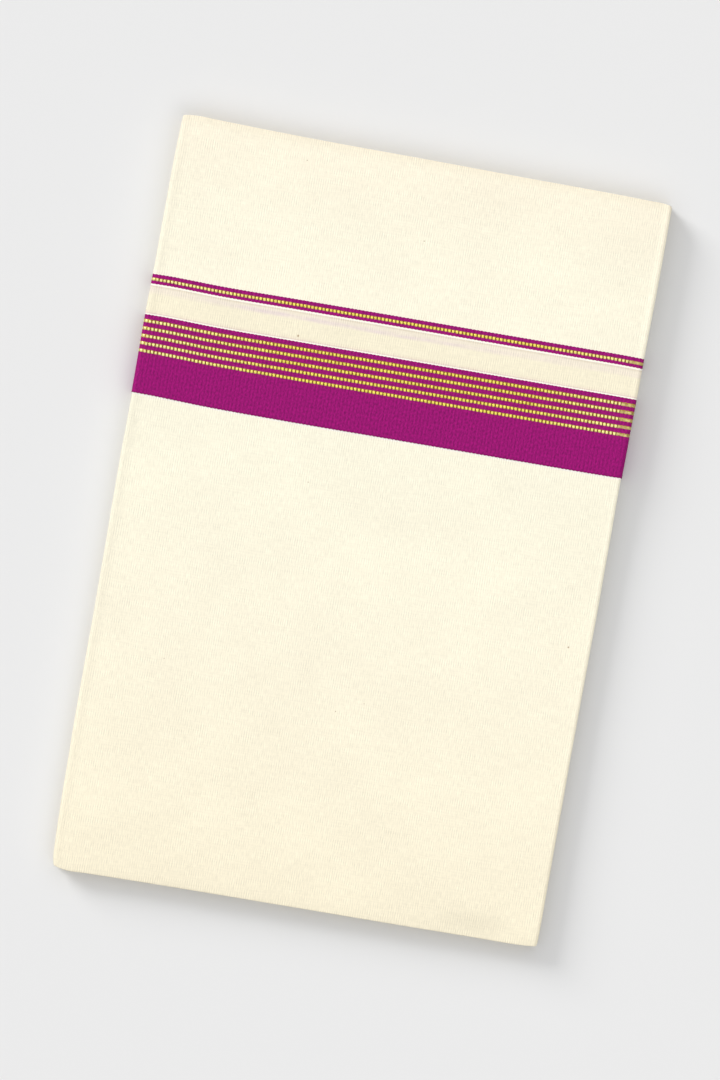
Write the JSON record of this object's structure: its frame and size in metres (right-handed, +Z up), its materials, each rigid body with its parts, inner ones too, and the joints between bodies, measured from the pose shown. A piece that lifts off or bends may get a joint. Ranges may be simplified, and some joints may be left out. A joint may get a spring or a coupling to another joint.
{
  "type": "folded dhoti cloth",
  "caption": "Cream cotton dhoti folded flat into a layered pack, its striped magenta and gold border lying across the front on a short flap.",
  "frame": {"origin": "middle of the flat underside, in plan the middle of the folded pack", "axes": "+X across the pack towards its one big side fold, along the length of the cloth; +Y up the pack towards the fold above the border; +Z up from the surface that it lies on"},
  "size_m": [0.243, 0.3718, 0.0131],
  "materials": {
    "cream_cotton": "unbleached plain-weave cotton, matt, pressed flat",
    "magenta_border": "magenta yarn woven in fine ribs across the band, matt with a slight sheen",
    "gold_zari": "gold-coloured metallic thread in short raised floats, satin"
  },
  "bodies": {
    "root": {"outer_panel": "cream_cotton", "flap_cloth": "cream_cotton", "border_band": "magenta_border", "hidden_layers": "cream_cotton"}
  },
  "joints": []
}
